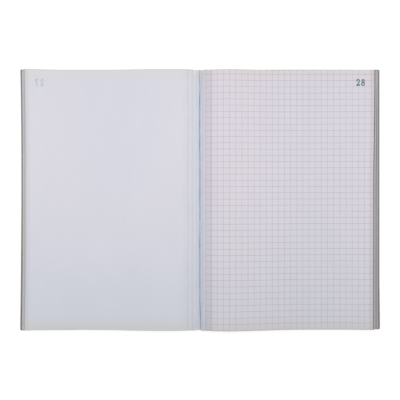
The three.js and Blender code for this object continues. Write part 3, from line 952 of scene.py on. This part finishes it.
# ------------------------------------------------------------------ covers and shield
def panel(name, x0, x1, half_y, z0, z1, materials, radius=0.0, round_=0.06, nx=30, ny=42, cells=None):
    """A thin board with softened edges. Its outline may have rounded corners."""
    import bmesh

    bm = bmesh.new()
    n = 8
    outline = []
    for cx, cy, a0 in ((x1 - radius, half_y - radius, 0), (x0 + radius, half_y - radius, 90), (x0 + radius, -half_y + radius, 180), (x1 - radius, -half_y + radius, 270)):
        steps = n if radius > 0 else 0
        for i in range(steps + 1):
            a = math.radians(a0 + 90 * i / max(steps, 1))
            outline.append((cx + radius * math.cos(a), cy + radius * math.sin(a)) if radius > 0 else (cx, cy))
    rings = [(round_, z0), (round_ * 0.3, z0 + round_ * 0.3), (0.0, z0 + round_), (0.0, z1 - round_), (round_ * 0.3, z1 - round_ * 0.3), (round_, z1)]
    loops = []
    for inset, z in rings:
        ring = []
        for x_, y_ in outline:
            mx, my = (x0 + x1) / 2, 0.0
            ring.append(bm.verts.new(((x_ - math.copysign(inset, x_ - mx)) * MM, (y_ - math.copysign(inset, y_ - my)) * MM, z * MM)))
        loops.append(ring)
    for a, b in zip(loops[:-1], loops[1:]):
        for i in range(len(a)):
            j = (i + 1) % len(a)
            f = bm.faces.new((a[i], a[j], b[j], b[i]))
            f.material_index = 2
    f = bm.faces.new(list(reversed(loops[0])))
    f.material_index = 1
    f = bm.faces.new(loops[-1])
    f.material_index = 0
    bmesh.ops.recalc_face_normals(bm, faces=bm.faces)
    me = bpy.data.meshes.new(name)
    bm.to_mesh(me)
    bm.free()
    for m_ in materials:
        me.materials.append(m_)
    me.polygons.foreach_set("use_smooth", np.ones(len(me.polygons), bool))
    me.set_sharp_from_angle(angle=math.radians(40))
    ob = bpy.data.objects.new(name, me)
    bpy.context.collection.objects.link(ob)
    return ob


def board(name, x0, x1, y0, y1, z0, z1, materials, curled=False, flared=False):
    """A board or lining. The front one is curled up with the leaves at its outer corners and the
    back one is cut a little wide at the tail."""
    outer = x0 if abs(x0) > abs(x1) else x1
    fine_x = outer - math.copysign(1.0, outer) * np.array([0.15, 0.4, 0.75, 1.2])
    xs = np.unique(np.concatenate([np.linspace(x0, x1, 41), fine_x]))
    ys = np.unique(np.concatenate([np.linspace(y0, y1, 37), y0 + np.array([0.3, 0.8, 1.4]), y1 - np.array([0.3, 0.8, 1.4])]))
    build = Build()
    low = np.stack([xs, np.full(len(xs), z0)], -1)
    high = np.stack([xs, np.full(len(xs), z1)], -1)

    def shape(s_, y_):
        out = np.zeros((*s_.shape, 3))
        if curled:
            u = (np.abs(x0 + s_ - GX) - (LEFT_BOTTOM_END - 55)) / 55
            out[:, :, 2] = curl(0.0, u, y_)
            out[:, :, 0] = -np.interp(-y_, [10, 45, 75, 95, 106], [0.0, 0.24, 0.28, 0.24, 0.19]) * np.clip(np.abs(x0 + s_) / 140, 0, 1)
        elif flared:
            out[:, :, 0] = 0.33 * np.clip((-y_ - 66) / 33, 0, 1.2) * np.clip((np.abs(x0 + s_) - 90) / 50, 0, 1)
        # the outer corners are worn round
        near_x = np.clip(1.4 - np.abs(x0 + s_ - outer), 0, None) / 1.4
        for edge, blunt in ((y0, 0.5), (y1, 0.15)):
            near_y = np.clip(1.4 - np.abs(y_ - edge), 0, None) / 1.4
            out[:, :, 1] -= math.copysign(blunt, edge) * near_x**2.2 * near_y
            out[:, :, 0] -= math.copysign(blunt * 0.6, outer) * near_x * near_y**2.2
        return out

    build.sheet(low, high, xs - x0, ys, 1, 0.5, None, shape)
    return build.object(name, materials, own_map=False, sharp=40)


BACK_UP = 0.4       # the back cover sits a little towards the head
front = board("front_cover_board", -COVER_HALF_SPAN + 0.65, GX - SPINE_LEFT - 0.35, -HALF - COVER_OVER, HALF + COVER_OVER, 0.11, COVER, [outer_board, outer_board, board_edge], True)
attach(front, "front_cover")
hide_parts("front_cover")
front_liner = board("front_cover_lining", -COVER_HALF_SPAN + 3.75, GX - SPINE_LEFT - 1.2, -HALF - COVER_OVER + 3.0, HALF + COVER_OVER - 3.0, COVER - 0.03, COVER + 0.035, [liner] * 3, True)
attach(front_liner, "front_cover")
back = board("back_cover_board", GX + SPINE_RIGHT + 0.35, COVER_HALF_SPAN, -HALF - COVER_OVER + BACK_UP, HALF + COVER_OVER + BACK_UP, 0.11, COVER, [outer_board, outer_board, board_edge], flared=True)
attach(back, "back_cover")
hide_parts("back_cover")
back_liner = board("back_cover_lining", GX + SPINE_RIGHT + 1.2, COVER_HALF_SPAN - 3.0, -HALF - COVER_OVER + BACK_UP + 3.0, HALF + COVER_OVER + BACK_UP - 3.0, COVER - 0.03, COVER + 0.03, [liner] * 3)
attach(back_liner, "back_cover")
shield = panel("writing_shield_card", right.B0[0] + 2.0, RIGHT_BOTTOM_END + GX - 2.0, 102.0, COVER + 0.06, COVER + 0.06 + SHIELD, [manila] * 3, radius=4.0)
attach(shield, "writing_shield")
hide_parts("writing_shield")


# ------------------------------------------------------------------ stamped numbers
def arc(cx, cy, rx, ry, a0, a1, n=20):
    return [(cx + rx * math.cos(math.radians(a0 + (a1 - a0) * i / n)), cy + ry * math.sin(math.radians(a0 + (a1 - a0) * i / n))) for i in range(n + 1)]


# strokes of each figure in a box 1 wide and 1 high: (points, closed)
FIGURES = {
    "1": [([(0.18, 0.80), (0.36, 0.86), (0.52, 0.99)], False), ([(0.52, 1.0), (0.52, 0.0)], False), ([(0.2, 0.03), (0.84, 0.03)], False)],
    "2": [
        ([(0.06, 0.70)] + arc(0.49, 0.73, 0.42, 0.25, 172, -28, 18) + [(0.66, 0.40), (0.32, 0.19), (0.06, 0.04)], False),
        ([(0.03, 0.045), (0.97, 0.045)], False),
        ([(0.95, 0.02), (0.97, 0.16)], False),
    ],
    "7": [([(0.04, 0.955), (0.97, 0.955)], False), ([(0.05, 0.99), (0.04, 0.82)], False), ([(0.93, 0.95), (0.62, 0.52), (0.44, 0.24), (0.40, 0.0)], False)],
    "8": [(arc(0.5, 0.745, 0.35, 0.225, 0, 360, 28)[:-1], True), (arc(0.5, 0.265, 0.43, 0.245, 0, 360, 28)[:-1], True)],
    "9": [(arc(0.5, 0.69, 0.41, 0.28, 0, 360, 28)[:-1], True), ([(0.91, 0.69), (0.90, 0.45), (0.80, 0.22), (0.58, 0.07), (0.24, 0.05)], False)],
}


def ribbon(points, closed, width):
    """Left and right side of a stroke of this width."""
    q = np.array(points, float)
    if closed:
        d = np.roll(q, -1, 0) - np.roll(q, 1, 0)
    else:
        d = np.gradient(q, axis=0)
    d /= np.linalg.norm(d, axis=1)[:, None]
    nrm = np.stack([-d[:, 1], d[:, 0]], -1) * width / 2
    if not closed:      # the ends stand out half a stroke
        q = q.copy()
        q[0] -= d[0] * width * 0.35
        q[-1] += d[-1] * width * 0.35
    return q + nrm, q - nrm


def stamp(name, text, target, place, step, size, stroke, material, body, from_below=False, mirrored=False, proud=0.012, sink=0.03):
    """Figures printed on the sheet target. place is the lower left corner [x, y] of the first
    figure as it is read, step the distance to the next one and size its width and height."""
    dg = bpy.context.evaluated_depsgraph_get()
    tree = BVHTree.FromObject(target, dg)
    sign = -1.0 if (from_below != mirrored) else 1.0     # reading direction along X
    verts, faces = [], []

    def height(x_, y_):
        start = Vector((x_ * MM, y_ * MM, -0.05 if from_below else 0.05))
        hit = tree.ray_cast(start, Vector((0, 0, 1.0 if from_below else -1.0)))[0]
        return hit.z / MM

    out = -1.0 if from_below else 1.0
    lift = 0.0
    for i, figure in enumerate(text):
        for points, closed in FIGURES[figure]:
            mm_points = [(px * (size[0] - stroke) + stroke / 2, py * (size[1] - stroke) + stroke / 2) for px, py in points]
            if len(mm_points) < 4:      # more points, so that the stroke follows the sheet
                fine_points = []
                for a, b in zip(mm_points[:-1], mm_points[1:]):
                    fine_points += [(a[0] + (b[0] - a[0]) * t / 4, a[1] + (b[1] - a[1]) * t / 4) for t in range(4)]
                mm_points = fine_points + [mm_points[-1]]
            l_side, r_side = ribbon(mm_points, closed, stroke)
            base = len(verts)
            n = len(l_side)
            for pts in (l_side, r_side):
                for px, py in pts:
                    x_ = place[0] + sign * (i * step + px)
                    y_ = place[1] + py
                    z_ = height(x_, y_)
                    verts.append((x_ * MM, y_ * MM, (z_ + out * (proud + lift)) * MM))
                    verts.append((x_ * MM, y_ * MM, (z_ - out * sink) * MM))
            idx = np.arange(4 * n).reshape(2, n, 2) + base
            for k in range(n if closed else n - 1):
                j = (k + 1) % n
                a, b, c_, d_ = idx[0, k], idx[0, j], idx[1, j], idx[1, k]
                faces += [(a[0], b[0], c_[0], d_[0]), (d_[1], c_[1], b[1], a[1]), (a[0], a[1], b[1], b[0]), (d_[0], c_[0], c_[1], d_[1])]
            if not closed:
                a, b = idx[0, 0], idx[1, 0]
                faces.append((a[0], b[0], b[1], a[1]))
                a, b = idx[0, n - 1], idx[1, n - 1]
                faces.append((a[0], a[1], b[1], b[0]))
            lift += 0.0012
    me = bpy.data.meshes.new(name)
    me.from_pydata([tuple(map(float, v)) for v in verts], [], [tuple(map(int, f)) for f in faces])
    me.materials.append(material)
    import bmesh

    bm = bmesh.new()
    bm.from_mesh(me)
    bmesh.ops.recalc_face_normals(bm, faces=bm.faces)
    bm.to_mesh(me)
    bm.free()
    ob = bpy.data.objects.new(name, me)
    bpy.context.collection.objects.link(ob)
    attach(ob, body)
    return ob


for copy in ("original", "duplicate", "triplicate"):
    name = f"leaf_28_{copy}"
    stamp(f"number_28_{copy}", "28", sheets[name], (125.95, 91.95), 3.95, (3.2, 5.75), 0.8, ink, name)
stamp("number_29", "29", sheets["set_29"], (125.95, 91.95), 3.95, (3.2, 5.75), 0.8, ink, "right_block")
stamp("number_1", "1", sheets["set_01"], (-129.9, 91.95), 3.95, (3.2, 5.75), 0.8, ink, "left_block", from_below=True)
stamp("number_27_show_through", "27", sheets["leaf_27_triplicate"], (-125.35, 91.45), 4.3, (3.2, 6.35), 1.1, ghost_ink, "left_block", mirrored=True, proud=0.006)
